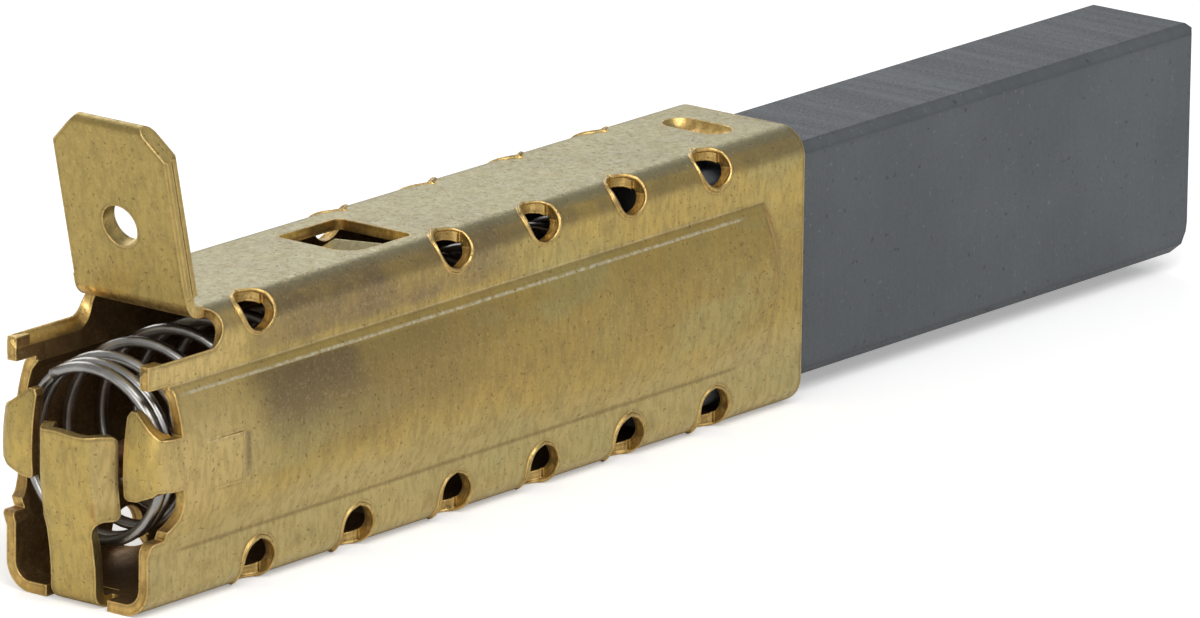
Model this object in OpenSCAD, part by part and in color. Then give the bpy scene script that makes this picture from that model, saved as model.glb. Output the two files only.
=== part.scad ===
// Cartridge carbon brush for a small universal motor.
// A spring pushes a graphite block out of a folded brass sleeve, and the sleeve's
// blade tab takes a push-on terminal. Millimetres, +X towards the commutator, +Z
// towards the tab, origin under the middle of the sleeve on its bottom face.

/* [Sleeve] */
// Length of the folded sleeve, rear edge to mouth
sleeve_length = 45.4; // [43.4:0.5:60.4]
// Outer width across the flat parts of the side walls
sleeve_width = 7.9; // [7.7:0.1:9]
// Outer height
sleeve_height = 12.8; // [12.6:0.1:14]
// Thickness of the brass sheet
sheet = 0.5; // [0.4:0.05:0.6]
// Outside radius of the four long folds
fold_radius = 1.3; // [1.1:0.1:1.5]

/* [Side panels] */
// Lower edge of the raised panel, above the bottom face
panel_bottom = 2.75; // [2.55:0.1:3.05]
// Flat wall above the raised panel
panel_top_gap = 2.8; // [2.6:0.1:3.2]
// Rise of the panel at mid height, over the flat wall
panel_rise = 0.83; // [0.7:0.01:0.95]
// Rise of the sharp step along the panel's edges
panel_step = 0.28; // [0.2:0.01:0.35]
// Flat wall left between the panel's front end and the mouth
panel_end_gap = 1.7; // [1:0.1:4]
// Radius of the panel's front end
panel_end_radius = 5.8; // [5:0.1:8]
// Distance from the rear edge to the front end of the low pad on the panel
pad_front = 5.3; // [4.8:0.1:5.6]
// Length of that pad
pad_length = 2.7; // [2:0.1:3]
// Height of that pad
pad_height = 2.2; // [1.8:0.1:2.4]

/* [Fold perforations] */
// Width of one perforation along the fold
perforation_width = 2.1; // [1.8:0.1:2.3]
// How far a bottom perforation reaches over the side wall
bottom_side_reach = 2.1; // [1.9:0.05:2.2]
// How far a top perforation reaches over the side wall
top_side_reach = 1.55; // [1.5:0.05:1.8]
// How far a perforation reaches over the top or bottom wall
perforation_flat_reach = 1.25; // [1.1:0.05:1.3]
// Distance from the rear edge to the first perforation
first_perforation = 7.4; // [7:0.1:8]
// Spacing of the first three perforations
rear_pitch = 6.7; // [6.4:0.1:7]
// Spacing of the others
front_pitch = 6.1; // [5.8:0.1:6.3]

/* [Blade tab] */
// Width of the blade, the 6.3 mm push-on size
tab_width = 6.4; // [6.2:0.1:6.4]
// Thickness of the blade, the sheet folded double and pressed
tab_thickness = 0.8; // [0.7:0.05:0.8]
// Length of the blade above the top wall
tab_length = 8.25; // [7.5:0.1:9]
// Lean of the blade towards the rear, in degrees
tab_lean = 13; // [0:0.5:15]
// Distance from the rear edge to the rear face of the blade, at the top wall
tab_place = 3.5; // [3.3:0.1:4]
// Size of the cut corners at the tip
tab_corner = 1.4; // [1:0.1:1.6]
// Diameter of the hole for the terminal's latch
tab_hole = 1.9; // [1.6:0.1:2.1]
// Height of that hole above the top wall, along the blade
tab_hole_height = 3.4; // [3:0.1:4]

/* [Window and stop hook] */
// Distance from the rear edge to the window in the top wall
window_place = 15.4; // [14.9:0.1:15.6]
// Length of the window along the sleeve
window_length = 4.2; // [4:0.1:4.4]
// Width of the window
window_width = 4.2; // [4:0.1:4.4]
// Offset of the window from the centre line
window_offset = -0.25; // [-0.3:0.05:0.3]
// Width of the hook cut from the window
hook_width = 3.4; // [3:0.1:3.6]
// Depth of the hook below the outside of the top wall
hook_depth = 2; // [1.9:0.05:2.1]

/* [Rear lugs and tongue] */
// Height of a side lug where it leaves the wall
lug_root = 2.3; // [2:0.1:2.6]
// Height of a side lug at its free edge
lug_head = 4.1; // [3.8:0.1:4.4]
// Gap between the free edges of the two side lugs
lug_gap = 5.1; // [4.8:0.1:5.4]
// Width of the tongue that rises behind the rear opening
tongue_width = 2.2; // [2:0.1:2.8]
// Height of the tongue's head
tongue_head = 4.25; // [4:0.05:4.5]
// Length of the wings bent forward from the head
wing_length = 2.1; // [1.8:0.1:2.4]

/* [Carbon block] */
// Play between the graphite block and each side wall
carbon_side_play = 0.35; // [0.2:0.05:0.5]
// Play between the graphite block and the walls above and below it
carbon_play = 0.45; // [0.35:0.05:0.6]
// Length of the graphite block
carbon_length = 41; // [38:0.5:41]
// How far it stands out of the mouth when the spring is let go
carbon_reach = 30.7; // [27.2:0.5:30.7]
// Bevel along its long edges
carbon_bevel = 0.45; // [0.2:0.05:0.6]

/* [Spring] */
// Diameter of the spring wire
wire = 0.5; // [0.45:0.05:0.6]
// Play between the spring and the raised side panels
spring_play = 0.18; // [0.12:0.02:0.3]
// Turns that touch at each end
closed_turns = 1.1; // [1:0.1:1.5]
// Turns in all
spring_turns = 18; // [15:0.5:20]
// How far the slack spring bows upwards near the rear
spring_bow = 0.5; // [0:0.1:0.6]

/* [Copper shunt] */
// Diameter of the copper braid
shunt_diameter = 1.6; // [1.2:0.1:1.8]
// Diameter of the tamped plug that holds the braid in the carbon
plug_diameter = 3.2; // [3:0.1:3.6]
// Depth of that plug
plug_depth = 5; // [4:0.5:6]
// Solid copper behind the end of the braid
plug_floor = 1; // [0.5:0.1:1.5]

/* [Hidden] */
$fn = 64;
cut = 0.5;

brass = "#b9a05a";
graphite = "#4a4e55";
steel = "#8d8d8a";
copper = "#b06a45";

half_w = sleeve_width / 2;
inner_w = sleeve_width - 2 * sheet;
inner_h = sleeve_height - 2 * sheet;
panel_top = sleeve_height - panel_top_gap;
panel_height = panel_top - panel_bottom;
panel_mid = panel_bottom + panel_height / 2;
chord = panel_height / 2 - panel_step * 1.25;
panel_radius = (chord * chord + pow(panel_rise - panel_step, 2)) / (2 * (panel_rise - panel_step));
panel_end = sleeve_length - panel_end_gap - panel_end_radius;
missing_top = 1;
perforations = [
  for (i = [0:2]) first_perforation + i * rear_pitch,
  for (i = [1:3]) first_perforation + 2 * rear_pitch + i * front_pitch
];

// The top wall ends below its fold at the rear, so the spring can be seen.
rear_wall_top = sleeve_height - fold_radius - 0.35;
slot_end = tab_place + 1.5;
lug_mid = panel_mid + 0.42;
lug_head_mid = lug_mid + 0.1;
lug_bend = sheet + 0.6;
tab_inside = 0.4;
tab_bend = tab_inside + sheet;
tab_bend_x = tab_place - tab_inside * tan(tab_lean) + tab_bend / cos(tab_lean);
lug_bend_y = half_w + panel_rise - lug_bend;
head_bottom = panel_mid - tongue_head / 2 - 0.72;
tongue_back = -1;

carbon_width = inner_w - 2 * carbon_side_play;
carbon_height = inner_h - 2 * carbon_play;
carbon_rear = sleeve_length + carbon_reach - carbon_length;
carbon_mid = sleeve_height / 2 - 0.12;
spring_mid = sleeve_height / 2;
spring_start = sheet + 0.1 + wire / 2;
spring_end = carbon_rear - wire / 2 - 0.02;
spring_outside = sleeve_width + 2 * (panel_rise - sheet - spring_play);
spring_run = spring_end - spring_start;
touching_pitch = wire + 0.06;
opening_turns = 1.8;
turn_steps = 24;
wire_sides = 6;
spring_angle = 57;

// ---------- shared shapes ----------

// A flat outline drawn in Y and Z, drawn out along X.
module along_x(from, to) {
  translate([from, 0, 0]) rotate([90, 0, 90]) linear_extrude(to - from) children();
}

// A flat outline drawn in X and Z, drawn out along Y.
module along_y(from, to) {
  translate([0, to, 0]) rotate([90, 0, 0]) linear_extrude(to - from) children();
}

module both_sides() {
  children();
  mirror([0, 1, 0]) children();
}

module rounded_box(w, h, r) {
  translate([-w / 2 + r, 0]) square([w - 2 * r, h]);
  translate([-w / 2, r]) square([w, h - 2 * r]);
  for (y = [-w / 2 + r, w / 2 - r], z = [r, h - r]) translate([y, z]) circle(r);
}

// Takes the sharp outside corner off a sheet edge.
module corner_round(r) {
  difference() {
    translate([-cut, -cut]) square(r + cut);
    translate([r, r]) circle(r);
  }
}

// One fold of the sheet about the Z axis, from angle 0 on.
module bend(inside, thickness, height, angle) {
  rotate_extrude(angle = angle) translate([inside, 0]) square([thickness, height]);
}

// ---------- brass sleeve ----------

// Cross-section of the raised panel on the +Y wall; lift moves it outwards.
module panel_section(lift, shrink) {
  intersection() {
    translate([half_w + panel_rise - panel_radius, panel_mid]) circle(panel_radius + lift, $fn = 180);
    polygon([
      [half_w - 1.2, panel_bottom + shrink],
      [half_w + lift, panel_bottom + shrink],
      [half_w + lift + 1, panel_bottom + shrink + 2.5],
      [half_w + lift + 1, panel_top - shrink - 1.25],
      [half_w + lift, panel_top - shrink],
      [half_w - 1.2, panel_top - shrink]
    ]);
  }
}

// The panel runs from the rear edge to a round, sloped front end.
module panel(lift, shrink) {
  intersection() {
    along_x(-cut * (lift < 0 ? 1 : 0), sleeve_length) panel_section(lift, shrink);
    union() {
      translate([-2, 0, 0]) cube([panel_end + 2, 3 * half_w, sleeve_height]);
      translate([panel_end, half_w + lift + 2, panel_mid]) rotate([90, 0, 0])
        cylinder(h = 4, r1 = panel_end_radius + lift - 3, r2 = panel_end_radius + lift + 3);
    }
  }
}

module tube() {
  difference() {
    union() {
      along_x(0, sleeve_length) rounded_box(sleeve_width, sleeve_height, fold_radius);
      both_sides() panel(0, 0);
    }
    translate([0, 0, sheet]) along_x(-cut, sleeve_length + cut)
      rounded_box(inner_w, inner_h, fold_radius - sheet);
    both_sides() panel(-sheet, 0.2);
  }
}

// One perforation in the +Y bottom fold. It is punched in the flat sheet, so it
// goes straight through the side wall and straight through the bottom wall.
module perforation(side_reach) {
  r = perforation_width / 2;
  deep = sheet + 0.32;
  translate([0, half_w + cut, side_reach - r]) rotate([90, 0, 0])
    cylinder(h = deep + cut, r = r);
  translate([0, half_w - perforation_flat_reach + r, -cut]) cylinder(h = deep + cut, r = r);
  translate([-r * 0.98, half_w - deep, -cut]) cube([2 * r * 0.98, deep + cut, deep + cut]);
}

module perforation_rows() {
  for (i = [0:len(perforations) - 1]) translate([perforations[i], 0, 0]) both_sides() {
    perforation(bottom_side_reach);
    if (i != missing_top) translate([0, 0, sleeve_height]) mirror([0, 0, 1])
      perforation(top_side_reach);
  }
}

// Slot around each top fold, beside the root of the tab.
module tab_slots() {
  r = 0.87;
  both_sides() translate([0, half_w, sleeve_height]) rotate([-45, 0, 0]) {
    translate([slot_end - r, 0.3, -3]) cylinder(h = 5, r = r);
    translate([-cut, 0.3 - r, -3]) cube([slot_end - r + cut, 2 * r, 5]);
  }
}

module rear_top_cut() {
  translate([-cut, -half_w - cut, rear_wall_top])
    cube([tab_bend_x + cut, sleeve_width + 2 * cut, sleeve_height]);
}

// Outline of the notches above and below the lug, seen from the side.
module notch_outline() {
  upper = panel_top + 0.08;
  lower = panel_bottom + 0.65;
  root_top = lug_mid + lug_root / 2;
  root_low = lug_mid - lug_root / 2;
  translate([-cut, root_top]) square([1.3 + cut, upper - root_top]);
  translate([0.9, root_top]) square([0.55, upper - root_top - 0.2]);
  translate([-cut, lower]) square([0.8 + cut, root_low - lower]);
  intersection() {
    translate([0.2, root_low - 0.65]) circle(1.35);
    translate([-cut, lower]) square([3, root_low - lower]);
  }
  translate([0, upper]) corner_round(0.35);
  translate([0, rear_wall_top]) mirror([0, 1]) corner_round(0.25);
  translate([0, lower]) mirror([0, 1]) corner_round(0.25);
}

module rear_notches() {
  both_sides() along_y(half_w - 1.1, half_w + 2) {
    notch_outline();
    translate([-cut, lug_mid - lug_root / 2 - 0.01]) square([lug_bend + cut, lug_root + 0.02]);
  }
}

// Lug outline seen from the rear, for the +Y side.
module lug_outline() {
  free = lug_gap / 2;
  top = lug_head_mid + lug_head / 2;
  low = lug_head_mid - lug_head / 2;
  r = 0.5;
  difference() {
    polygon([
      [free, low],
      [free + 0.9, low],
      [half_w + 0.35, lug_mid - lug_root / 2],
      [half_w + 2, lug_mid - lug_root / 2],
      [half_w + 2, lug_mid + lug_root / 2],
      [half_w + 0.35, lug_mid + lug_root / 2],
      [free + 0.45, top],
      [free + 0.15, top],
      [free, top - 0.25]
    ]);
    translate([free, low]) corner_round(r);
  }
}

// Section of the panel's sheet, measured outwards from the axis of the lug's bend.
module lug_section() {
  centre = half_w + panel_rise - panel_radius - lug_bend_y;
  intersection() {
    difference() {
      translate([centre, panel_mid]) circle(panel_radius, $fn = 180);
      translate([centre, panel_mid]) circle(panel_radius - sheet, $fn = 180);
    }
    square([lug_bend, sleeve_height]);
  }
}

// A lug carries on from the panel, folds inwards and stops the spring.
module lug() {
  intersection() {
    along_x(-cut, 3) lug_outline();
    translate([lug_bend, lug_bend_y, 0]) {
      rotate([0, 0, 90]) rotate_extrude(angle = 90) lug_section();
      mirror([1, 0, 0]) rotate([90, 0, 0]) linear_extrude(lug_bend_y - lug_gap / 2) lug_section();
    }
  }
}

// The tongue leaves the bottom wall, slopes rearwards and then stands upright.
module tongue_stem() {
  along_y(-tongue_width / 2, tongue_width / 2) polygon([
    [1.6, 0],
    [0.9, 0.02],
    [0.35, 0.22],
    [0, 0.7],
    [-0.45, 2],
    [tongue_back + 0.02, head_bottom - 0.2],
    [tongue_back, head_bottom + 0.02],
    [tongue_back + sheet, head_bottom + 0.02],
    [tongue_back + sheet + 0.02, head_bottom - 0.2],
    [0.05, 2.05],
    [0.45, 0.9],
    [0.65, 0.6],
    [1.6, sheet]
  ]);
}

module stem_reliefs() {
  both_sides() {
    translate([0.6, tongue_width / 2 + 0.3, -cut]) cylinder(h = 1.5, r = 0.3);
    translate([-cut, tongue_width / 2, -cut]) cube([0.6 + cut, 0.6, 1.5]);
  }
  translate([-cut, -tongue_width / 2, -cut]) cube([1.4 + cut, tongue_width, 1.5]);
}

// The head closes forwards on both sides into a short channel.
module tongue_head_channel() {
  inside = 0.35;
  flare = 15;
  centre_y = tongue_width / 2 - 0.5;
  difference() {
    translate([0, 0, head_bottom]) union() {
      translate([tongue_back, -centre_y, 0]) cube([sheet, 2 * centre_y, tongue_head]);
      both_sides() translate([tongue_back + sheet + inside, centre_y, 0]) {
        rotate([0, 0, 90 + flare]) bend(inside, sheet, tongue_head, 90 - flare);
        rotate([0, 0, flare]) translate([0, inside, 0])
          cube([wing_length - sheet - inside, sheet, tongue_head]);
      }
    }
    both_sides() along_y(0.9, 4) {
      translate([tongue_back + wing_length - 0.04, head_bottom]) mirror([1, 0]) corner_round(0.45);
      translate([tongue_back + wing_length - 0.04, head_bottom + tongue_head])
        rotate(180) corner_round(0.35);
    }
  }
}

// The blade, drawn upright with its rear face at X = 0 and its foot at Z = 0.
module blade() {
  foot = 0.42;
  w = tab_width / 2;
  b = 0.12;
  difference() {
    intersection() {
      along_x(0, tab_thickness) polygon([
        [-w, foot],
        [w, foot],
        [w, tab_length - tab_corner],
        [w - tab_corner, tab_length],
        [-w + tab_corner, tab_length],
        [-w, tab_length - tab_corner]
      ]);
      along_y(-w, w) union() {
        translate([0, foot]) square([tab_thickness, tab_length - foot - tab_thickness / 2]);
        translate([tab_thickness / 2, tab_length - tab_thickness / 2]) circle(tab_thickness / 2);
      }
      linear_extrude(tab_length) polygon([
        [0, -w + b],
        [b, -w],
        [tab_thickness - b, -w],
        [tab_thickness, -w + b],
        [tab_thickness, w - b],
        [tab_thickness - b, w],
        [b, w],
        [0, w - b]
      ]);
    }
    translate([-cut, 0, tab_hole_height]) rotate([0, 90, 0])
      cylinder(h = tab_thickness + 2 * cut, r = tab_hole / 2);
    both_sides() translate([tab_thickness / 2 - 0.03, w - 0.1, 0])
      cube([0.06, 1, tab_length - tab_corner]);
  }
}

// The fold that turns the top wall up into the blade.
module tab() {
  w = tab_width / 2;
  root = w - 0.06;
  translate([tab_bend_x, -root, sleeve_height + tab_inside]) rotate([-90, 0, 0])
    rotate([0, 0, 90]) bend(tab_inside, sheet, 2 * root, 90 - tab_lean);
  translate([tab_bend_x, -root, sleeve_height - sheet]) cube([0.25, 2 * root, sheet]);
  translate([tab_place, 0, sleeve_height]) rotate([0, -tab_lean, 0]) {
    translate([0, 0, 0.01]) blade();
    difference() {
      translate([0, -root, 0.2]) cube([sheet, 2 * root, 0.4]);
      translate([tab_bend, -w - cut, tab_inside]) rotate([-90, 0, 0])
        cylinder(h = tab_width + 2 * cut, r = tab_inside);
    }
  }
}

module window() {
  far = window_width / 2;
  translate([window_place, window_offset, sleeve_height - 1.5]) linear_extrude(3) difference() {
    translate([0, -far]) square([window_length, window_width]);
    translate([0, -far]) corner_round(1.1);
    translate([0, far]) mirror([0, 1]) corner_round(0.3);
    translate([window_length, -far]) mirror([1, 0]) corner_round(0.35);
    translate([window_length, far]) rotate(180) corner_round(0.35);
  }
}

// Hook pressed down out of the window: it stops the carbon when it is pushed in.
// Its front end turns up again, with two cut corners.
module stop_hook() {
  x = window_place;
  top = sleeve_height;
  low = top - hook_depth;
  tip = top - 0.35;
  w = hook_width / 2;
  translate([0, window_offset, 0]) intersection() {
    along_y(-w, w) polygon([
      [x - 0.6, top],
      [x - 0.1, top - 0.02],
      [x + 0.25, top - 0.3],
      [x + 0.85, low + 0.65],
      [x + 1.15, low + 0.48],
      [x + 1.95, low + 0.48],
      [x + 2.25, low + 0.65],
      [x + 2.55, tip],
      [x + 3.05, tip - 0.1],
      [x + 2.75, low + 0.3],
      [x + 2.5, low + 0.05],
      [x + 2.2, low],
      [x + 0.85, low],
      [x + 0.45, low + 0.25],
      [x - 0.1, top - sheet - 0.05],
      [x - 0.6, top - sheet]
    ]);
    union() {
      translate([x - 1, -w, low - 1]) cube([2.6, 2 * w, hook_depth + 1]);
      along_x(x + 1.5, x + 5) polygon([
        [-w, low - 1],
        [w, low - 1],
        [w, tip - 0.6],
        [w - 0.6, tip],
        [-w + 0.6, tip],
        [-w, tip - 0.6]
      ]);
    }
  }
}

// Pressed dent near the mouth: a capsule, sunk into the sheet.
module dent(r) {
  reach = 0.85;
  translate([sleeve_length - 2.8, 0, sleeve_height + 0.45]) {
    rotate([90, 0, 0]) cylinder(h = 2 * reach, r = r, center = true);
    for (y = [-reach, reach]) translate([0, y, 0]) sphere(r);
  }
}

// Low pad pressed up on the panel: a wedge that rises forwards and ends in a step.
module panel_pad() {
  face = half_w + panel_rise;
  rear = pad_front - pad_length;
  both_sides() translate([0, 0, lug_mid - 1.55]) linear_extrude(pad_height) polygon([
    [rear, face - 0.25],
    [pad_front, face - 0.25],
    [pad_front, face + 0.08],
    [pad_front - 0.15, face + 0.1],
    [rear, face - 0.08]
  ]);
}

module brush_sleeve() {
  color(brass) {
    difference() {
      union() {
        difference() {
          tube();
          rear_top_cut();
        }
        intersection() {
          dent(1.35);
          translate([0, -half_w, 0]) cube([sleeve_length, sleeve_width, sleeve_height - 0.1]);
        }
        panel_pad();
      }
      perforation_rows();
      tab_slots();
      rear_notches();
      stem_reliefs();
      window();
      dent(1);
    }
    both_sides() lug();
    tongue_stem();
    tongue_head_channel();
    tab();
    stop_hook();
  }
}

// ---------- carbon block ----------

module bevelled(w, h, b) {
  polygon([
    [-w / 2 + b, 0],
    [w / 2 - b, 0],
    [w / 2, b],
    [w / 2, h - b],
    [w / 2 - b, h],
    [-w / 2 + b, h],
    [-w / 2, h - b],
    [-w / 2, b]
  ]);
}

module carbon_block() {
  front = carbon_rear + carbon_length;
  low = carbon_mid - carbon_height / 2;
  nose = 0.25;
  color(graphite) difference() {
    intersection() {
      translate([0, 0, low]) along_x(carbon_rear, front + cut)
        bevelled(carbon_width, carbon_height, carbon_bevel);
      along_y(-carbon_width, carbon_width) polygon([
        [carbon_rear, low],
        [front - 0.8, low],
        [front - 0.2, low + 1],
        [front, low + 2.2],
        [front, low + carbon_height * 0.65],
        [front + 0.2, low + carbon_height * 0.85],
        [front + 0.2, low + carbon_height - nose],
        [front + 0.2 - nose, low + carbon_height],
        [carbon_rear, low + carbon_height]
      ]);
      linear_extrude(sleeve_height) polygon([
        [carbon_rear, -carbon_width / 2],
        [front - nose / 2, -carbon_width / 2],
        [front + 0.2, -carbon_width / 2 + nose],
        [front + 0.2, carbon_width / 2 - nose],
        [front - nose / 2, carbon_width / 2],
        [carbon_rear, carbon_width / 2]
      ]);
    }
    translate([carbon_rear - cut, 0, carbon_mid]) rotate([0, 90, 0])
      cylinder(h = plug_depth + cut, r = plug_diameter / 2);
  }
}

// Copper powder tamped around the end of the braid.
module tamping_plug() {
  color(copper) translate([carbon_rear, 0, carbon_mid]) rotate([0, 90, 0]) difference() {
    cylinder(h = plug_depth, r = plug_diameter / 2);
    translate([0, 0, -cut]) cylinder(h = plug_depth - plug_floor + cut, r = shunt_diameter / 2);
  }
}

// ---------- spring and shunt ----------

// How far the turns stand open after n turns: 0 touching, 1 fully open.
function opening(n) =
  let (f = max(0, min(1, (n - closed_turns) / opening_turns))) f * f * (3 - 2 * f);

spring_steps = round(spring_turns * turn_steps);
open_shares = [
  for (i = [0:spring_steps - 1]) let (n = (i + 0.5) * spring_turns / spring_steps)
    opening(n) * opening(spring_turns - n)
];
open_total = open_shares * [for (share = open_shares) 1];
spring_slack = spring_run - spring_turns * touching_pitch;
spring_places = [
  for (i = 0, x = 0; i <= spring_steps;
    x = x + spring_turns * touching_pitch / spring_steps
      + (i < spring_steps ? spring_slack * open_shares[i] / open_total : 0),
    i = i + 1) x
];
function bow_at(x) = x > 12 ? 0 : spring_bow * sin(15 * x);

// A closed tube from rings of points, each ring with the same number of sides.
module ring_tube(rings, sides) {
  last = len(rings) - 1;
  polyhedron(
    points = [for (ring = rings) each ring],
    faces = [
      [for (k = [sides - 1:-1:0]) k],
      for (i = [0:last - 1], k = [0:sides - 1])
        let (a = i * sides + k, b = i * sides + (k + 1) % sides)
        each [[a, b, a + sides], [b, b + sides, a + sides]],
      [for (k = [0:sides - 1]) last * sides + k]
    ],
    convexity = 10
  );
}

module pressure_spring() {
  mean = (spring_outside - wire) / 2;
  color(steel) translate([spring_start, 0, spring_mid])
    ring_tube([
      for (i = [0:spring_steps]) let (
        a = spring_angle + 360 * i * spring_turns / spring_steps,
        x = spring_places[i]
      ) [
        for (k = [0:wire_sides - 1])
          let (q = 360 * k / wire_sides, r = mean + wire / 2 * cos(q))
          [x - wire / 2 * sin(q), r * cos(a), r * sin(a) + bow_at(x)]
      ]
    ], wire_sides);
}

// The braid runs slack inside the spring, from the tongue's head to the plug.
shunt_from = tongue_back + sheet;
shunt_to = carbon_rear + plug_depth - plug_floor;
shunt_low = head_bottom + tongue_head / 2;
function shunt_sway(f) = sin(180 * f) * sin(900 * f) * 0.9;
function shunt_point(f) = [
  shunt_from + (shunt_to - shunt_from) * f,
  shunt_sway(min(1, f / 0.86)),
  shunt_low + (carbon_mid - shunt_low) * (1 - cos(180 * min(1, f / 0.8))) / 2
];

module copper_shunt() {
  sides = 10;
  steps = 60;
  color(copper) ring_tube([
    for (i = [0:steps]) let (p = shunt_point(i / steps)) [
      for (k = [0:sides - 1])
        p + shunt_diameter / 2 * 0.98 * [0, cos(-360 * k / sides), sin(-360 * k / sides)]
    ]
  ], sides);
}

// Moves the rear edge's own measure to the frame's origin, under mid sleeve.
module placed() {
  translate([-sleeve_length / 2, 0, 0]) children();
}

placed() brush_sleeve();
placed() carbon_block();
placed() tamping_plug();
placed() pressure_spring();
placed() copper_shunt();
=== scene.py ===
"""Looks for a cartridge carbon brush: folded brass sleeve, graphite block, steel spring, copper shunt."""
import math
from types import SimpleNamespace

import bmesh
import bpy
from mathutils import Matrix, Vector
from mathutils.kdtree import KDTree


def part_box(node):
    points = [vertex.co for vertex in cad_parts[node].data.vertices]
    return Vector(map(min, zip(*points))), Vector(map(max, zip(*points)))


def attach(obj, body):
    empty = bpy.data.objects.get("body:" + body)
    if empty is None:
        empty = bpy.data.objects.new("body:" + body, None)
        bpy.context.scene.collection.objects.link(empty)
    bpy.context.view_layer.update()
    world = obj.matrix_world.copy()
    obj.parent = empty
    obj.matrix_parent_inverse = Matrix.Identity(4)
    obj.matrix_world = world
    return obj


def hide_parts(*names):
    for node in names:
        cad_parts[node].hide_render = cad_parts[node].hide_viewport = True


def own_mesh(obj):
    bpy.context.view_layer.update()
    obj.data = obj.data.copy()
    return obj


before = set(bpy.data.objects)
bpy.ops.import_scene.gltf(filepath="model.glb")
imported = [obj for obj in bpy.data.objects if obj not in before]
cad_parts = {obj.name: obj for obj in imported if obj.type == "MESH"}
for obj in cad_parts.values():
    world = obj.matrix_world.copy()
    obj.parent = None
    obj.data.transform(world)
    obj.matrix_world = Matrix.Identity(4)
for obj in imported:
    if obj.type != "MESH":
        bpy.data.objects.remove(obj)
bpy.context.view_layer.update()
MM = 0.001


# ---------- sizes ----------

sleeve_lo, sleeve_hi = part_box("brush_sleeve")
spring_lo, spring_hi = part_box("pressure_spring")
shunt_lo, shunt_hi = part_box("copper_shunt")
MOUTH = sleeve_hi.x

# the sleeve's own sizes in mm, as in the part's source; places along it count from its rear end
LENGTH, HEIGHT, HALF_WIDTH = 45.4, 12.8, 3.95
SHEET, FOLD_RADIUS = 0.5, 1.3
FIRST_HOLE, REAR_PITCH, FRONT_PITCH = 7.4, 6.7, 6.1
WINDOW_PLACE, WINDOW_OFFSET = 15.4, -0.25
TONGUE_END = 1.45
REAR = MOUTH - LENGTH * MM


# ---------- node helpers ----------

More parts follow.
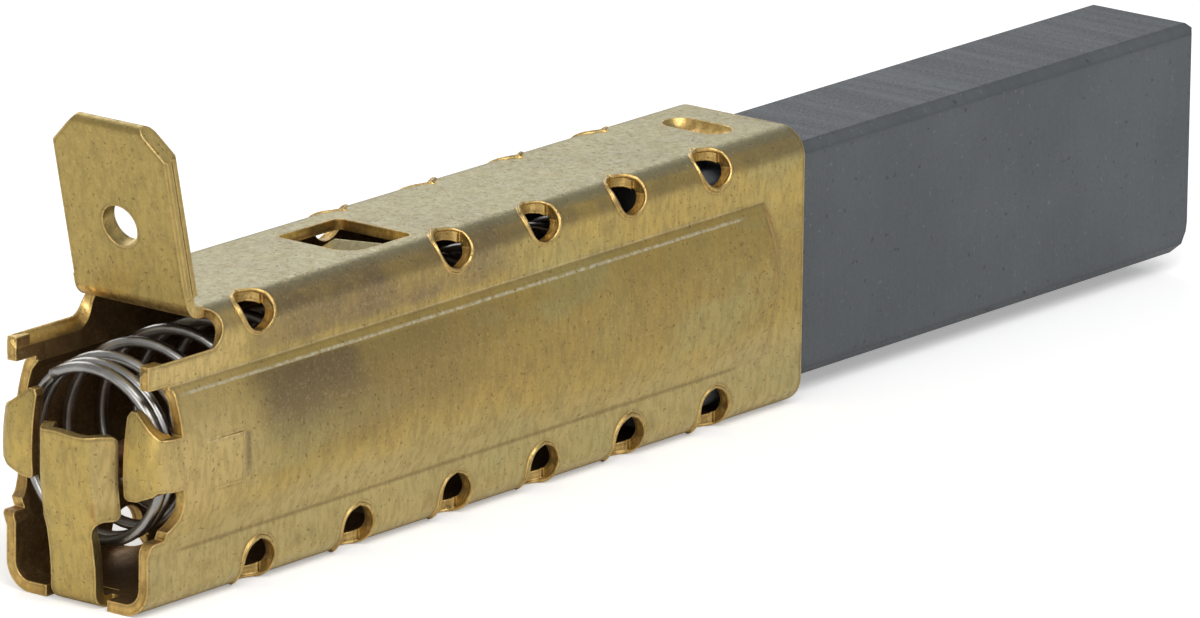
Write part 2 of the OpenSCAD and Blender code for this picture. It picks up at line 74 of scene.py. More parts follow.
class Graph:
    """Builds one material's node tree with short calls."""

    def __init__(self, name):
        self.material = bpy.data.materials.new(name)
        self.material.use_nodes = True
        self.tree = self.material.node_tree
        self.tree.nodes.clear()
        self.output = self.tree.nodes.new("ShaderNodeOutputMaterial")
        self.shader = self.tree.nodes.new("ShaderNodeBsdfPrincipled")
        self.link(self.shader.outputs[0], self.output.inputs["Surface"])
        self.position = self.tree.nodes.new("ShaderNodeTexCoord").outputs["Object"]
        self.tone = None

    def link(self, a, b):
        self.tree.links.new(a, b)

    def feed(self, socket, value):
        if hasattr(value, "is_output"):
            self.link(value, socket)
        else:
            socket.default_value = value

    def math(self, operation, a, b=0.0):
        n = self.tree.nodes.new("ShaderNodeMath")
        n.operation = operation
        for socket, value in zip(n.inputs, (a, b)):
            self.feed(socket, value)
        return n.outputs[0]

    def times(self, first, *others):
        """The product of masks and numbers."""
        for value in others:
            first = self.math("MULTIPLY", first, value)
        return first

    def without(self, mask):
        return self.math("SUBTRACT", 1.0, mask)

    def axes(self, vector=None):
        n = self.tree.nodes.new("ShaderNodeSeparateXYZ")
        self.link(vector or self.position, n.inputs[0])
        return n.outputs

    def scaled(self, x=1.0, y=1.0, z=1.0, shift=(0, 0, 0)):
        n = self.tree.nodes.new("ShaderNodeMapping")
        n.inputs["Scale"].default_value = (x, y, z)
        n.inputs["Location"].default_value = shift
        self.link(self.position, n.inputs["Vector"])
        return n.outputs[0]

    def noise(self, scale, detail=3.0, rough=0.5, vector=None):
        n = self.tree.nodes.new("ShaderNodeTexNoise")
        n.inputs["Scale"].default_value = scale
        n.inputs["Detail"].default_value = detail
        n.inputs["Roughness"].default_value = rough
        self.link(vector or self.position, n.inputs["Vector"])
        return n.outputs[0]

    def ramp(self, value, low, high, out_low=0.0, out_high=1.0):
        n = self.tree.nodes.new("ShaderNodeMapRange")
        n.interpolation_type = "SMOOTHSTEP"
        for socket, v in zip(n.inputs[:5], (value, low, high, out_low, out_high)):
            self.feed(socket, v)
        return n.outputs[0]

    def rise(self, place, low, high):
        """0 at one place and 1 at another, both in mm; high may be the lower of the two."""
        return self.ramp(place, low * MM, high * MM)

    def band(self, place, low, high, soft):
        """1 between two places in mm, with soft ends."""
        return self.times(self.rise(place, low - soft, low + soft),
                          self.rise(place, high + soft, high - soft))

    def mix(self, factor, a, b):
        n = self.tree.nodes.new("ShaderNodeMix")
        n.data_type = "RGBA"
        self.feed(n.inputs["Factor"], factor)
        for socket, value in ((n.inputs[6], a), (n.inputs[7], b)):
            self.feed(socket, (*value, 1.0) if isinstance(value, tuple) else value)
        return n.outputs[2]

    def over(self, mask, strength, colour):
        """Lays a colour over the tone that is there already."""
        self.tone = self.mix(self.times(mask, strength), self.tone, colour)

    def normal(self):
        n = self.tree.nodes.new("ShaderNodeNewGeometry")
        return n.outputs["Normal"]

    def edges(self, radius, low, high):
        """1 along sharp edges, 0 on open faces."""
        bevel = self.tree.nodes.new("ShaderNodeBevel")
        bevel.samples = 4
        bevel.inputs["Radius"].default_value = radius
        dot = self.tree.nodes.new("ShaderNodeVectorMath")
        dot.operation = "DOT_PRODUCT"
        self.link(bevel.outputs[0], dot.inputs[0])
        self.link(self.normal(), dot.inputs[1])
        return self.ramp(self.without(dot.outputs["Value"]), low, high)

    def relief(self, *layers, bevel=0.0):
        """Bump layers, each (height, distance in metres, strength)."""
        last = None
        if bevel:
            n = self.tree.nodes.new("ShaderNodeBevel")
            n.samples = 6
            n.inputs["Radius"].default_value = bevel
            last = n.outputs[0]
        for height, distance, strength in layers:
            n = self.tree.nodes.new("ShaderNodeBump")
            n.inputs["Distance"].default_value = distance
            n.inputs["Strength"].default_value = strength
            self.link(height, n.inputs["Height"])
            if last is not None:
                self.link(last, n.inputs["Normal"])
            last = n.outputs[0]
        self.link(last, self.shader.inputs["Normal"])

    def set(self, **values):
        for name, value in values.items():
            self.feed(self.shader.inputs[name.replace("_", " ")], value)


def wear(obj, material):
    obj.data.materials.clear()
    obj.data.materials.append(material)


# ---------- materials ----------

def sleeve_places(g):
    """Where a point lies on the sleeve, which way it faces, and the noises that the marks share."""
    x, y, z = g.axes()
    at = SimpleNamespace(y=y, z=z, facing=g.axes(g.normal()))
    at.along = g.math("SUBTRACT", x, REAR)
    at.side = g.ramp(g.math("ABSOLUTE", at.facing[1]), 0.45, 0.85)
    at.cloud = g.noise(110, 4, 0.6)
    at.blotch = g.noise(380, 4, 0.62)
    at.mottle = g.noise(900, 3, 0.6)
    at.streak = g.noise(3300, 3, 0.65, g.scaled(1, 1, 0.32))
    drift = g.times(g.math("SUBTRACT", at.cloud, 0.5), 4.0 * MM)
    at.drifting_z = g.math("ADD", z, drift)
    at.drifting_along = g.math("ADD", at.along, g.times(drift, 2.0))
    return at


def brass_ground(g, at):
    """Golden sheet, greener and paler low on the sides, a browner band of painted shade across the middle of
    the raised panel, grey on top.
    """
    g.tone = g.mix(g.ramp(at.blotch, 0.32, 0.68), (0.64, 0.455, 0.135), (0.55, 0.41, 0.135))
    # painted shade: the panel mask is a browner band across the middle of the raised panel's bulge; cloud
    # patches then vary its tone
    panel = g.times(at.side, g.band(at.drifting_z, 5.2, 8.8, 1.2))
    low = g.times(at.side, g.rise(at.drifting_z, 5.2, 2.8))
    green = g.ramp(g.noise(210, 4, 0.65, g.scaled(0.5, 1, 1, (2, 0, 7))), 0.5, 0.68)
    # a greyer tone on the top wall's upward-facing outside
    top_grey = g.mix(g.ramp(at.blotch, 0.35, 0.65), (0.315, 0.31, 0.195), (0.285, 0.277, 0.182))
    top_wall = g.times(g.ramp(at.facing[2], 0.45, 0.95), g.rise(at.z, 12.3, 12.5))
    g.over(panel, 0.75, (0.43, 0.295, 0.09))
    g.over(low, 0.7, (0.60, 0.50, 0.235))
    g.over(g.times(panel, g.ramp(at.cloud, 0.5, 0.68)), 0.45, (0.50, 0.41, 0.16))
    g.over(g.ramp(at.mottle, 0.50, 0.70), 0.30, (0.36, 0.26, 0.10))
    g.over(g.times(green, at.side), 0.5, (0.50, 0.45, 0.20))
    g.over(top_wall, 0.9, top_grey)


def brass_stains(g, at):
    """Brown stains of heat and handling on the rear half, painted shade along the rounded fold, and a painted
    highlight on the brighter rear end.
    """
    stain = g.times(at.side, g.band(at.drifting_along, 7.0, 13.5, 1.8),
                    g.rise(at.drifting_z, 6.0, 8.2), g.rise(at.z, 9.62, 9.5))
    haze = g.times(at.side, g.band(at.drifting_along, 9.0, 21.0, 4.0),
                   g.rise(at.drifting_z, 4.4, 6.4), g.rise(at.z, 9.62, 9.4))
    upper = g.times(g.band(at.drifting_along, 8.0, 23.0, 3.5), g.band(at.z, 10.3, 12.62, 0.35))
    # painted shade: a brown band along the rounded fold between the top and side walls
    fold = g.band(at.z, 11.7, 12.55, 0.3)
    # painted highlight: the side walls brighten to a pale gold towards the rear end
    rear_highlight = g.times(at.side, g.rise(at.drifting_along, 8.5, 4.0), g.rise(at.z, 3.5, 5.0))
    g.over(haze, 0.5, (0.30, 0.215, 0.09))
    g.over(stain, 0.85, (0.23, 0.165, 0.09))
    g.over(g.times(upper, g.ramp(at.blotch, 0.3, 0.6, 0.5, 1.0)), 0.75, (0.23, 0.165, 0.105))
    g.over(g.times(fold, g.ramp(at.blotch, 0.35, 0.62, 0.3, 1.0)), 0.55, (0.27, 0.205, 0.12))
    g.over(rear_highlight, 0.55, (0.82, 0.62, 0.27))


def brass_press_marks(g, at):
    """Painted highlights and painted shade along the raised panel's edges, and round the low pad near its
    rear end.
    """
    glint = g.ramp(g.noise(2600, 3, 0.7), 0.36, 0.6, 0.25, 1.0)
    long_side = g.times(at.side, g.band(at.along, 2.0, 40.5, 0.6))
    # painted highlight: a glinting bright line along the crest of the panel's upper step
    crest_highlight = g.times(g.band(at.z, 9.58, 9.70, 0.03), long_side, glint)
    # painted sheen: a pale line along the base of the panel's upper step
    foot = g.times(g.band(at.z, 9.98, 10.08, 0.05), long_side)
    # painted shade: a dark line in the crease along the panel's lower edge
    lower = g.times(g.band(at.z, 2.62, 2.78, 0.08), long_side)
    g.over(crest_highlight, 1.0, (1.0, 0.92, 0.66))
    g.over(foot, 0.6, (0.74, 0.64, 0.38))
    g.over(lower, 0.6, (0.24, 0.17, 0.07))
    pad = g.times(at.side, g.band(at.z, 5.3, 7.35, 0.1))
    # painted highlight: glints along the pad's step
    pad_step_highlight = g.times(pad, g.band(at.along, 5.18, 5.36, 0.05))
    shadow = g.times(pad, g.band(at.along, 5.5, 5.85, 0.15), g.ramp(at.mottle, 0.35, 0.55, 0.4, 1.0))
    # painted highlight: glints along the pad's top edge
    pad_ledge_highlight = g.times(at.side, g.band(at.z, 7.36, 7.52, 0.06), g.band(at.along, 3.2, 5.2, 0.5))
    g.over(shadow, 0.7, (0.20, 0.14, 0.085))
    g.over(g.times(pad_step_highlight, glint), 0.7, (0.86, 0.68, 0.36))
    g.over(g.times(pad_ledge_highlight, glint), 0.9, (1.0, 0.85, 0.5))


def brass_blade(g, at):
    """The blade tab's own even tone."""
    even = g.mix(g.ramp(at.mottle, 0.3, 0.7), (0.50, 0.365, 0.12), (0.43, 0.32, 0.105))
    g.over(g.rise(at.z, 13.0, 13.4), 0.8, even)


def brass_inside(g, at):
    """Dark brown where the surface faces the sleeve's axis; returns that mask."""
    height = g.math("SUBTRACT", at.z, HEIGHT / 2 * MM)
    outward = g.math("ADD", g.times(at.facing[1], at.y), g.times(at.facing[2], height))
    inside = g.times(g.rise(outward, -0.2, -1.2), g.rise(at.z, 12.6, 12.4))
    g.over(inside, 0.9, g.mix(g.ramp(at.blotch, 0.35, 0.65), (0.27, 0.145, 0.06), (0.20, 0.10, 0.042)))
    return inside


def brass_edges(g, at):
    """Bright cut faces of the punched openings and the rear ends, worn golden rims that also carry a painted
    highlight, and painted shade beside them.
    """
    facing_along = g.math("ABSOLUTE", at.facing[0])
    punched = g.times(g.ramp(facing_along, 0.18, 0.45), g.rise(at.along, 1.4, 1.7), g.rise(at.z, 13.0, 12.8))
    g.over(punched, 0.85, g.mix(g.ramp(at.streak, 0.35, 0.65), (0.90, 0.62, 0.22), (0.55, 0.33, 0.09)))
    off_centre = g.math("ABSOLUTE", at.y)
    upper_end = g.times(g.rise(at.z, 8.1, 8.25), g.rise(off_centre, 3.55, 3.65))
    lower_end = g.times(g.rise(at.z, 5.05, 4.95), g.rise(off_centre, 1.4, 1.5))
    rear_end = g.times(g.ramp(facing_along, 0.5, 0.8), g.rise(at.along, 1.8, 1.6),
                       g.math("MAXIMUM", upper_end, lower_end))
    g.over(rear_end, 0.85, g.mix(g.ramp(at.mottle, 0.35, 0.65), (0.88, 0.58, 0.19), (0.50, 0.30, 0.085)))
    # the rims are worn brass and also a painted highlight along every sharp edge
    rim = g.edges(0.16 * MM, 0.01, 0.10)
    # painted shade: a dark brown band beside the sharp edges
    edge_shade = g.times(g.ramp(g.edges(0.34 * MM, 0.004, 0.05), 0.15, 0.6), g.without(rim))
    g.over(g.times(rim, g.ramp(at.mottle, 0.3, 0.6, 0.35, 1.0)), 0.8, (0.98, 0.68, 0.26))
    g.over(g.times(edge_shade, g.ramp(at.blotch, 0.3, 0.6, 0.35, 1.0)), 0.8, (0.17, 0.105, 0.036))


def brass_hook(g, at):
    """A painted reflection makes the plate at the end of the window's hook pale."""
    # painted reflection: the plate is painted pale, as the bright sky it faces would make it
    plate = g.times(g.band(at.along, 17.45, 18.95, 0.05), g.band(at.y, -2.3, 1.8, 0.05),
                    g.rise(at.z, 12.75, 12.7))
    g.over(plate, 0.9, (0.56, 0.52, 0.32))


def brass_grain(g, at):
    """Fine grain and dark specks; returns the specks' mask."""
    specks = g.ramp(g.noise(5600, 2, 0.5, g.scaled(1, 1, 1, (3, 5, 1))), 0.64, 0.70)
    g.over(g.ramp(at.streak, 0.42, 0.62), 0.30, (0.31, 0.235, 0.10))
    g.over(g.ramp(g.noise(6500, 3, 0.7), 0.5, 0.68), 0.25, (0.70, 0.56, 0.27))
    g.over(specks, 0.5, (0.14, 0.09, 0.035))
    return specks


def brass():
    g = Graph("brass_sheet")
    at = sleeve_places(g)
    brass_ground(g, at)
    brass_stains(g, at)
    brass_press_marks(g, at)
    brass_blade(g, at)
    inside = brass_inside(g, at)
    brass_edges(g, at)
    brass_hook(g, at)
    specks = brass_grain(g, at)
    rough = g.math("ADD", g.ramp(at.streak, 0.3, 0.7, 0.34, 0.48), g.times(inside, 0.15))
    g.set(Base_Color=g.tone, Metallic=1.0, Roughness=rough)
    g.relief((at.mottle, 0.07 * MM, 0.35), (at.streak, 0.022 * MM, 0.7),
             (g.without(specks), 0.02 * MM, 0.6), bevel=0.08 * MM)
    return g.material


def graphite():
    g = Graph("graphite")
    top = g.ramp(g.axes(g.normal())[2], 0.6, 0.9)
    saw = g.noise(1500, 3, 0.65, g.scaled(1, 0.05, 0.15))
    fine = g.noise(7000, 3, 0.6)
    speck = g.ramp(g.noise(3500, 2, 0.5, g.scaled(1, 1, 1, (7, 3, 1))), 0.66, 0.74)
    pit = g.ramp(g.noise(2300, 2, 0.5, g.scaled(1, 1, 1, (1, 9, 4))), 0.67, 0.74)
    cloud = g.noise(170, 3, 0.5)
    ragged = g.noise(1300, 4, 0.7)
    rim = g.ramp(g.math("ADD", g.edges(0.45 * MM, 0.004, 0.09), g.times(ragged, 0.9)), 0.72, 0.98)
    g.tone = g.mix(g.ramp(cloud, 0.3, 0.7), (0.079, 0.088, 0.095), (0.094, 0.104, 0.112))
    g.over(top, 1.0, g.mix(g.ramp(saw, 0.35, 0.7), (0.030, 0.037, 0.044), (0.062, 0.073, 0.085)))
    g.over(rim, 0.5, (0.05, 0.054, 0.06))
    g.over(speck, 0.35, (0.22, 0.23, 0.24))
    g.over(pit, 0.6, (0.03, 0.03, 0.032))
    g.set(Base_Color=g.tone, Metallic=0.0, Roughness=g.ramp(fine, 0.3, 0.7, 0.46, 0.6))
    g.shader.inputs["Specular IOR Level"].default_value = 0.5
    g.relief((saw, 0.12 * MM, 0.4), (ragged, 0.10 * MM, 0.25), (fine, 0.035 * MM, 0.5),
             (g.without(pit), 0.05 * MM, 0.6), bevel=0.12 * MM)
    return g.material


def steel():
    g = Graph("spring_steel")
    draw = g.noise(900, 3, 0.6)
    tone = g.mix(g.ramp(draw, 0.3, 0.7), (0.33, 0.325, 0.31), (0.45, 0.44, 0.42))
    g.set(Base_Color=tone, Metallic=1.0, Roughness=g.ramp(draw, 0.2, 0.8, 0.27, 0.36))
    g.relief((g.noise(5000, 2, 0.5), 0.012 * MM, 0.4))
    return g.material


def copper(name, tone_a, tone_b, rough):
    g = Graph(name)
    speck = g.noise(3000, 3, 0.6)
    g.set(Base_Color=g.mix(g.ramp(speck, 0.35, 0.65), tone_a, tone_b), Metallic=1.0, Roughness=rough)
    g.relief((g.noise(5000, 3, 0.6), 0.03 * MM, 0.5))
    return g.material


# ---------- mesh helpers ----------

def new_mesh(name, verts, faces):
    mesh = bpy.data.meshes.new(name)
    mesh.from_pydata([tuple(v) for v in verts], [], faces)
    return mesh


def new_object(name, data):
    obj = bpy.data.objects.new(name, data)
    bpy.context.scene.collection.objects.link(obj)
    return obj


def evaluated_mesh(obj):
    """The mesh of obj with its modifiers applied."""
    return bpy.data.meshes.new_from_object(obj.evaluated_get(bpy.context.evaluated_depsgraph_get()))


def from_rear(point):
    """A point in mm, counted from the sleeve's rear end, in the frame's metres."""
    return point * MM + Vector((REAR, 0, 0))


def smooth(f):
    f = max(0.0, min(1.0, f))
    return f * f * (3 - 2 * f)


def ring_faces(rings, sides, closed=False):
    """Faces between rings that turn right-handed about the way they follow; open ends get caps."""
    faces = []
    for i in range(rings if closed else rings - 1):
        here, ahead = i * sides, (i + 1) % rings * sides
        for k in range(sides):
            after = (k + 1) % sides
            faces.append((here + k, here + after, ahead + after, ahead + k))
    if not closed:
        faces.append(tuple(reversed(range(sides))))
        faces.append(tuple(range((rings - 1) * sides, rings * sides)))
    return faces


def smooth_tube(name, verts, sides):
    """A closed tube of rings of points, with smooth sides and flat caps."""
    mesh = new_mesh(name, verts, ring_faces(len(verts) // sides, sides))
    for p in mesh.polygons:
        p.use_smooth = len(p.vertices) == 4
    return new_object(name, mesh)


def prism_faces(corners):
    """Faces of an outline drawn out from its first copy to its second."""
    faces = [tuple(reversed(range(corners))), tuple(range(corners, 2 * corners))]
    faces += [(i, (i + 1) % corners, corners + (i + 1) % corners, corners + i) for i in range(corners)]
    return faces


def box(name, lo, hi):
    verts = [(x, y, z) for x in (lo[0], hi[0]) for y in (lo[1], hi[1]) for z in (lo[2], hi[2])]
    faces = [(0, 1, 3, 2), (4, 6, 7, 5), (0, 4, 5, 1), (2, 3, 7, 6), (0, 2, 6, 4), (1, 5, 7, 3)]
    return new_object(name, new_mesh(name, verts, faces))


def prism(name, outline, x_from, x_to):
    """A flat outline in Y and Z, drawn out along X."""
    verts = [(x, y, z) for x in (x_from, x_to) for y, z in outline]
    return new_object(name, new_mesh(name, verts, prism_faces(len(outline))))


def cut_or_join(obj, tool, operation):
    """Booleans one helper solid into obj and removes the helper."""
    m = obj.modifiers.new(operation.lower(), "BOOLEAN")
    m.operation = operation
    m.solver = "EXACT"
    m.object = tool
    shaped = evaluated_mesh(obj)
    obj.modifiers.remove(m)
    obj.data = shaped
    bpy.data.objects.remove(tool)


# ---------- spring and shunt ----------

def make_spring():
    """The coil by its own turns: closed at both ends, opening in between, bowed up near the rear."""
    wire, touching = 0.5 * MM, 0.56 * MM
    turns, closed, opening, start_angle = 18, 1.1, 1.8, math.radians(57)
    bow, bow_length = 0.5 * MM, 12 * MM
    # the solid's wire has six sides, so it reaches less far than the round one
    rear_rest, solid_half_wire = 0.6 * MM, wire * 0.433
    steps, sides = turns * 48, 12
    start = REAR + rear_rest + wire / 2
    run = spring_hi.x - solid_half_wire - start
    radius = (spring_hi.y - spring_lo.y) / 2 - wire / 2
    mid = (sleeve_lo.z + HEIGHT * MM) / 2

    def share(n):
        return smooth((n - closed) / opening)

    middles = [(i + 0.5) * turns / steps for i in range(steps)]
    shares = [share(n) * share(turns - n) for n in middles]
    slack = (run - turns * touching) / sum(shares)
    verts = []
    x = 0.0
    for i in range(steps + 1):
        a = start_angle + 2 * math.pi * turns * i / steps
        out = Vector((0, math.cos(a), math.sin(a)))
        lift = bow * math.sin(math.pi * x / bow_length) if x < bow_length else 0.0
        centre = Vector((start + x, 0, mid + lift)) + radius * out
        for k in range(sides):
            b = 2 * math.pi * k / sides
            verts.append(centre + wire / 2 * (math.cos(b) * out + math.sin(b) * Vector((-1, 0, 0))))
        if i < steps:
            x += turns * touching / steps + slack * shares[i]
    obj = smooth_tube("spring_coil", verts, sides)
    wear(obj, steel())
    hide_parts("pressure_spring")
    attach(obj, "sleeve")
    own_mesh(obj)
    return obj


def make_shunt():
    """A woven cord, slack inside the spring, from the tongue's head to the tamped plug."""
    diameter, low, high = 1.6 * MM, 5.655 * MM, 6.28 * MM
    sway, waves, sway_end, climb_end = 0.9 * MM, 5, 0.79, 0.8
    strands, weave, valley, ridge = 8, 2.2 * MM, 0.94, 0.04
    sides, steps = 48, 640
    span = shunt_hi.x - shunt_lo.x
    verts = []
    for i in range(steps + 1):
        f = i / steps
        g = min(1.0, f / sway_end)
        climb = (1 - math.cos(math.pi * min(1.0, f / climb_end))) / 2
        centre = Vector((shunt_lo.x + span * f, sway * math.sin(math.pi * g) * math.sin(waves * math.pi * g),
                         low + (high - low) * climb))
        twist = 2 * math.pi * span * f / weave / strands
        for k in range(sides):
            a = 2 * math.pi * k / sides
            crossing = math.cos(strands * (a + twist)) * math.cos(strands * (a - twist))
            r = diameter / 2 * (valley + ridge * crossing)
            verts.append((centre.x, centre.y + r * math.cos(a), centre.z + r * math.sin(a)))
    obj = smooth_tube("shunt_braid", verts, sides)
    wear(obj, copper("copper_braid", (0.5, 0.25, 0.14), (0.7, 0.4, 0.25), 0.4))
    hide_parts("copper_shunt")
    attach(obj, "sleeve")
    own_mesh(obj)
    return obj


# ---------- the sleeve's tongue, hook and burrs ----------

def tongue():
    """The tongue as one bent sheet: foot, upright stem, and a head folded forwards into two wings."""
    centre, flat, bend_r, foot_r = -0.1, 1.05, 0.55, 0.8
    turn, wing, stem_w, fillet = math.radians(62), 1.07, 1.25, 0.7
    head_low, head_top, corner, wave = 4.0, 7.78, 0.35, 0.03
    lean_foot, lean_more, lean_from, lean_run = -0.25, 0.78, 0.6, 5.4
    wings_from, wings_run, centre_run = 2.4, 1.9, 3
    bend_len = bend_r * turn
    end = flat + bend_len + wing

    def lean(z):
        return lean_foot - lean_more * smooth((z - lean_from) / lean_run)

    def outer(s, t):
        """Rear surface; t is the height down to the foot's bend, then the length left to run."""
        if t >= foot_r:
            x, z = lean(t), t
        elif t >= 0.0:
            a = (foot_r - t) / foot_r * math.pi / 2
            x, z = lean(foot_r) + foot_r * (1 - math.cos(a)), foot_r - foot_r * math.sin(a)
        else:
            x, z = lean(foot_r) + foot_r - t, 0.0
        k = smooth((z - wings_from) / wings_run)
        m = abs(s)
        y_bent, push = m, 0.0
        if m > flat:
            a = min((m - flat) / bend_r, turn)
            rest = max(0.0, m - flat - bend_len)
            y_bent = flat + bend_r * math.sin(a) + rest * math.cos(turn)
            push = bend_r * (1 - math.cos(a)) + rest * math.sin(turn)
        y = m + (y_bent - m) * k
        return Vector((x + push * k, math.copysign(y, s) + centre * smooth(z / centre_run), z))

    def inner(s, t):
        """The other face of the sheet, one thickness away along the surface's own normal."""
        e = 0.01
        ds = outer(s + e, t) - outer(s - e, t)
        dt = outer(s, t + e) - outer(s, t - e)
        n = ds.cross(dt).normalized()
        inward = n.x if t > foot_r / 2 else n.z
        return outer(s, t) + n * math.copysign(SHEET, inward)

    def low(s):
        m = abs(s)
        if m <= stem_w:
            return head_low - fillet
        if m < stem_w + fillet:
            return head_low - fillet + math.sqrt(max(0.0, fillet ** 2 - (m - stem_w - fillet) ** 2))
        r = max(0.0, m - (end - corner))
        return head_low + corner - math.sqrt(max(0.0, corner ** 2 - r ** 2))

    def high(s):
        r = max(0.0, abs(s) - (end - corner))
        return head_top + wave * math.sin(3 * s) - corner + math.sqrt(max(0.0, corner ** 2 - r ** 2))

    def spread(a, b, n):
        return [a + (b - a) * i / n for i in range(n)]

    half = spread(stem_w, stem_w + fillet, 10) + spread(stem_w + fillet, end - corner, 6)
    half += [end - corner * (1 - math.sin(math.pi / 2 * i / 8)) for i in range(8)] + [end - 0.001]
    columns = [-v for v in reversed(half)] + spread(-stem_w, stem_w, 16)[1:] + half
    head_rows, stem_rows = 26, 34
    tail = -(TONGUE_END - (lean(foot_r) + foot_r))
    index, verts, cells = {}, [], []

    def node(i, j):
        """Number of the outer point at column i and row j; the inner point's number is one more."""
        if (i, j) not in index:
            s = columns[i]
            if j <= head_rows:
                t = high(s) + (low(s) - high(s)) * j / head_rows
            else:
                t = low(s) + (tail - low(s)) * (j - head_rows) / stem_rows
            index[(i, j)] = len(verts)
            verts.append(from_rear(outer(s, t)))
            verts.append(from_rear(inner(s, t)))
        return index[(i, j)]

    for i in range(len(columns) - 1):
        in_stem = max(abs(columns[i]), abs(columns[i + 1])) <= stem_w + 1e-6
        for j in range(head_rows + (stem_rows if in_stem else 0)):
            cells.append((i, j))
    present = set(cells)
    faces = []
    for i, j in cells:
        a, b, c, d = node(i, j), node(i + 1, j), node(i + 1, j + 1), node(i, j + 1)
        faces.append((a, b, c, d))
        faces.append((d + 1, c + 1, b + 1, a + 1))
        for (p, q), (di, dj) in (((a, b), (0, -1)), ((b, c), (1, 0)), ((c, d), (0, 1)), ((d, a), (-1, 0))):
            if (i + di, j + dj) not in present:
                faces.append((q, p, p + 1, q + 1))
    mesh = new_mesh("tongue", verts, faces)
    mesh.validate()
    return new_object("tongue", mesh)


def hook_plate():
    """The upturned end of the pressed hook: a leaning plate with two cut corners."""
    wide, high, thick, cut, skew, lean = 1.85, 1.78, 0.4, 0.6, 0.25, math.radians(40)
    hook_run, hook_height = 1.95, 11.1
    foot = Vector((WINDOW_PLACE + hook_run, WINDOW_OFFSET, hook_height))
    up = Vector((math.sin(lean), 0, math.cos(lean)))
    out = Vector((math.cos(lean), 0, -math.sin(lean)))
    outline = [(-wide, 0), (wide, 0), (wide, high - cut - skew), (wide - cut, high - skew),
               (-wide + cut, high), (-wide, high - cut)]
    verts = [from_rear(foot + Vector((0, u, 0)) + up * v + out * w) for w in (0, thick) for u, v in outline]
    mesh = new_mesh("hook_plate", verts, prism_faces(len(outline)))
    work = bmesh.new()
    work.from_mesh(mesh)
    bmesh.ops.recalc_face_normals(work, faces=work.faces)
    work.to_mesh(mesh)
    work.free()
    return new_object("hook_plate", mesh)


def burr(place, side, lower, phase):
    """Raised rim that the punch left round one perforation; it follows the fold's surface."""
    r, flat_reach, side_reach = 1.05, 1.25, 2.1 if lower else 1.55
    wall_mid, top_mid = side_reach - r, HALF_WIDTH - flat_reach + r
    lead, extra, gap, near = 0.2, 0.05, 0.03, 0.7
    steps, sides, thin, swell = 26, 8, 0.085, 0.35
    least_step, clear, apart = 0.02, 0.004, 0.0005

    def surface(f):
        """Point on the sleeve's outside, from the flat wall at f = 0 over the fold to the side wall."""
        arc = FOLD_RADIUS * math.pi / 2
        run = f * (lead + arc + max(0.0, side_reach - FOLD_RADIUS) + extra)
        if run < lead:
            return HALF_WIDTH - FOLD_RADIUS - lead + run, 0.0
        a = min((run - lead) / FOLD_RADIUS, math.pi / 2)
        down = max(0.0, run - lead - arc)
        y = HALF_WIDTH - FOLD_RADIUS + FOLD_RADIUS * math.sin(a)
        return y, FOLD_RADIUS - FOLD_RADIUS * math.cos(a) + down

    def half_width(y, depth):
        """Half of the opening's width: one round hole goes through each of the two walls."""
        top = r * r - (y - top_mid) ** 2
        wall = r * r - (depth - wall_mid) ** 2
        best = max(top if depth < near else 0.0, wall if y > HALF_WIDTH - near else 0.0, 0.0)
        return math.sqrt(best)

    path = []
    for k in range(2 * steps):
        y, depth = surface(k / steps if k <= steps else 2 - k / steps)
        w = half_width(y, depth) + gap
        path.append(Vector((place + (w if k <= steps else -w), side * y, depth if lower else HEIGHT - depth)))
    path = [c for i, c in enumerate(path) if (c - path[i - 1]).length > least_step]
    middle = sum(path, Vector()) / len(path)
    n = len(path)
    verts = []
    for i, c in enumerate(path):
        ahead = (path[(i + 1) % n] - path[i - 1]).normalized()
        away = (c - middle) - ahead * (c - middle).dot(ahead)
        away.normalize()
        third = ahead.cross(away)
        size = thin * (1 + swell * math.sin(2 * math.pi * i / n * 2 + phase))
        for q in range(sides):
            a = 2 * math.pi * q / sides
            point = c + size * (math.cos(a) * away + math.sin(a) * third)
            # flattened just clear of the ground, each point at a height of its own
            point.z = max(point.z, clear + apart * q)
            verts.append(from_rear(point))
    return new_mesh("burr", verts, ring_faces(n, sides, closed=True))


def add_burrs(mesh):
    """Joins a burr round every perforation to the sleeve's mesh; the second upper pair isn't punched."""
    rows = [FIRST_HOLE + REAR_PITCH * i for i in range(3)]
    rows += [FIRST_HOLE + 2 * REAR_PITCH + FRONT_PITCH * i for i in (1, 2, 3)]
    work = bmesh.new()
    work.from_mesh(mesh)
    for i, place in enumerate(rows):
        for side in (-1, 1):
            for lower in (True, False):
                if lower or i != 1:
                    ring = burr(place, side, lower, 1.7 * i + side + 2.3 * lower)
                    work.from_mesh(ring)
                    bpy.data.meshes.remove(ring)
    bmesh.ops.recalc_face_normals(work, faces=work.faces)
    work.to_mesh(mesh)
    work.free()


def welded(mesh):
    """A copy of a mesh whose hard edges share their points again."""
    work = bmesh.new()
    work.from_mesh(mesh)
    bmesh.ops.remove_doubles(work, verts=work.verts, dist=0.0002 * MM)
    copy = bpy.data.meshes.new("folded_sleeve")
    work.to_mesh(copy)
    work.free()
    return copy


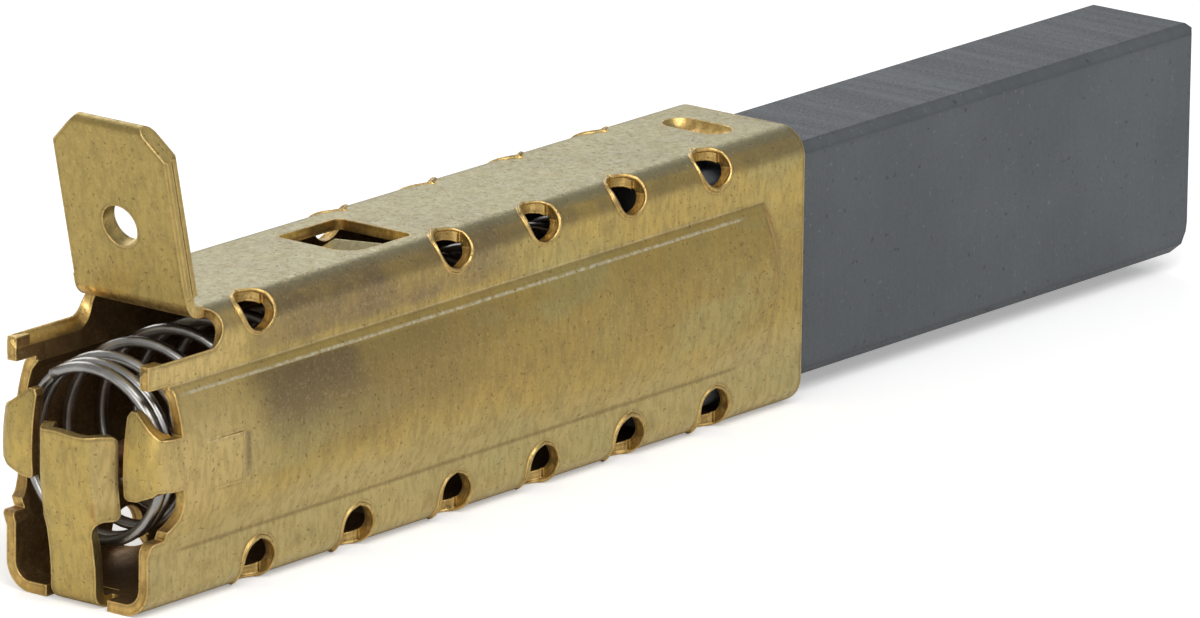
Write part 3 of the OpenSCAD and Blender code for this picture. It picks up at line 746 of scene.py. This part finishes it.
def keep_normals(mesh, source):
    """Corners that still lie on one of the source's corners, in the same plane, keep its normal."""
    tree = KDTree(len(source.loops))
    facing = [None] * len(source.loops)
    for p in source.polygons:
        for i in p.loop_indices:
            facing[i] = p.normal.copy()
            tree.insert(source.vertices[source.loops[i].vertex_index].co, i)
    tree.balance()
    normals = [n.vector.copy() for n in mesh.corner_normals]
    for p in mesh.polygons:
        for i in p.loop_indices:
            near = tree.find_range(mesh.vertices[mesh.loops[i].vertex_index].co, 0.0008 * MM)
            best = max(near, key=lambda hit: facing[hit[1]].dot(p.normal), default=None)
            if best and facing[best[1]].dot(p.normal) > 0.999:
                normals[i] = source.corner_normals[best[1]].vector.copy()
    mesh.normals_split_custom_set(normals)


def make_sleeve():
    """The frame's own sleeve with a bent tongue, squarer rear corners, the hook's plate and burrs."""
    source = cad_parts["brush_sleeve"]
    obj = new_object("folded_sleeve", welded(source.data))

    def corner(x, y, z):
        return (REAR + x * MM, y * MM, z * MM)

    behind, below = -2, -1
    stem_half, stem_top, head_half, head_low, head_top = 1.24, 3.6, 2.4, 3.3, 9.2
    old_stem = box("old_stem", corner(behind, -stem_half, below), corner(TONGUE_END, stem_half, stem_top))
    old_head = box("old_head", corner(behind, -head_half, head_low), corner(TONGUE_END, head_half, head_top))
    cut_or_join(obj, old_stem, "DIFFERENCE")
    cut_or_join(obj, old_head, "DIFFERENCE")
    lug_foot = [(2.3, 4.4), (4.6, 4.4), (4.6, 5.66), (3.94, 5.38), (3.2, 5.08), (2.75, 5.05), (2.3, 5.3)]
    # the rails' new ends stay a hair inside the wall's faces, so that no two faces lie in one plane
    hair = 0.0005
    wall_inside, wall_outside = HALF_WIDTH - SHEET + hair, HALF_WIDTH - hair
    rail_low, rail_high, rail_front = 10.09, 11.14, 0.9
    for side in (-1, 1):
        outline = [(side * y * MM, z * MM) for y, z in lug_foot][::side]
        cut_or_join(obj, prism("lug_foot", outline, REAR - 0.5 * MM, REAR + 0.9 * MM), "DIFFERENCE")
        lo, hi = sorted((side * wall_inside, side * wall_outside))
        rail_end = box("rail_end", corner(0.02, lo, rail_low), corner(rail_front, hi, rail_high))
        cut_or_join(obj, rail_end, "UNION")
    cut_or_join(obj, tongue(), "UNION")
    hook_half = 1.8
    hook_tip = box("hook_tip", corner(17.5, WINDOW_OFFSET - hook_half, 11.35),
                   corner(18.7, WINDOW_OFFSET + hook_half, 12.6))
    cut_or_join(obj, hook_tip, "DIFFERENCE")
    cut_or_join(obj, hook_plate(), "UNION")
    add_burrs(obj.data)
    for p in obj.data.polygons:
        p.use_smooth = True
    obj.data.set_sharp_from_angle(angle=math.radians(28))
    weigh = obj.modifiers.new("normals", "WEIGHTED_NORMAL")
    weigh.keep_sharp = True
    shaped = evaluated_mesh(obj)
    obj.modifiers.clear()
    obj.data = shaped
    keep_normals(shaped, source.data)
    wear(obj, brass())
    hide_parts("brush_sleeve")
    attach(obj, "sleeve")
    return obj


make_sleeve()
wear(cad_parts["carbon_block"], graphite())
wear(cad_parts["tamping_plug"], copper("copper_powder", (0.45, 0.22, 0.12), (0.62, 0.34, 0.2), 0.6))
make_spring()
make_shunt()


# ---------- stage, light and camera ----------

def ground(name, size, centre):
    h = size / 2
    obj = new_object(name, new_mesh(name, [(-h, -h, 0), (h, -h, 0), (h, h, 0), (-h, h, 0)], [(0, 1, 2, 3)]))
    obj.location = centre
    return obj


def floor_material():
    """A pale floor that shades the object's shadow and is lifted to white for the camera."""
    m = bpy.data.materials.new("pale_floor")
    m.use_nodes = True
    t = m.node_tree
    t.nodes.clear()
    out = t.nodes.new("ShaderNodeOutputMaterial")
    diffuse = t.nodes.new("ShaderNodeBsdfDiffuse")
    diffuse.inputs["Color"].default_value = (0.8, 0.8, 0.8, 1)
    glow = t.nodes.new("ShaderNodeEmission")
    glow.inputs["Color"].default_value = (1, 1, 1, 1)
    path = t.nodes.new("ShaderNodeLightPath")
    seen = t.nodes.new("ShaderNodeMath")
    seen.operation = "MULTIPLY"
    seen.inputs[1].default_value = 0.35
    add = t.nodes.new("ShaderNodeAddShader")
    t.links.new(path.outputs["Is Camera Ray"], seen.inputs[0])
    t.links.new(seen.outputs[0], glow.inputs["Strength"])
    t.links.new(diffuse.outputs[0], add.inputs[0])
    t.links.new(glow.outputs[0], add.inputs[1])
    t.links.new(add.outputs[0], out.inputs["Surface"])
    return m


def studio_world():
    """White for the camera, half as bright as a light."""
    as_light, as_background = 0.5, 1.0
    world = bpy.data.worlds.new("studio")
    world.use_nodes = True
    t = world.node_tree
    t.nodes.clear()
    out = t.nodes.new("ShaderNodeOutputWorld")
    background = t.nodes.new("ShaderNodeBackground")
    path = t.nodes.new("ShaderNodeLightPath")
    strength = t.nodes.new("ShaderNodeMix")
    strength.data_type = "FLOAT"
    strength.inputs[2].default_value = as_light
    strength.inputs[3].default_value = as_background
    t.links.new(path.outputs["Is Camera Ray"], strength.inputs[0])
    t.links.new(strength.outputs[0], background.inputs["Strength"])
    t.links.new(background.outputs[0], out.inputs["Surface"])
    return world


def softbox(name, location, aim, size, power):
    lamp = bpy.data.lights.new(name, "AREA")
    lamp.shape = "RECTANGLE"
    lamp.size, lamp.size_y = size
    lamp.energy = power
    obj = new_object(name, lamp)
    obj.location = location
    obj.rotation_euler = (Vector(aim) - Vector(location)).to_track_quat("-Z", "Y").to_euler()
    return obj


def make_camera(eye, aim, roll, lens):
    """A camera at eye that looks at aim, turned about its own axis by roll degrees."""
    camera = bpy.data.cameras.new("camera")
    camera.sensor_width = 36
    camera.lens = lens
    camera.clip_start = 0.01
    camera.clip_end = 20
    turn = (aim - eye).to_track_quat("-Z", "Y").to_matrix()
    turn = turn @ Matrix.Rotation(math.radians(roll), 3, "Z")
    rig = new_object("camera", camera)
    rig.matrix_world = Matrix.Translation(eye) @ turn.to_4x4()
    return rig


floor = ground("floor", 6.0, (0, 0, -0.02 * MM))
floor.data.materials.append(floor_material())
bpy.context.scene.world = studio_world()
softbox("key", (-0.15, -0.35, 0.55), (0, 0, 0), (0.5, 0.4), 2.6)
softbox("fill", (-0.6, -0.1, 0.25), (0, 0, 0.005), (0.4, 0.3), 1.2)
softbox("back", (0.3, 0.5, 0.4), (0, 0, 0.01), (0.6, 0.4), 1.5)
bpy.context.scene.camera = make_camera(eye=Vector((-447.78, -363.32, 165.46)) * MM,
                                       aim=Vector((13.055, 0, 5.712)) * MM, roll=0.799, lens=409.89)
bpy.context.scene.view_settings.view_transform = "Standard"
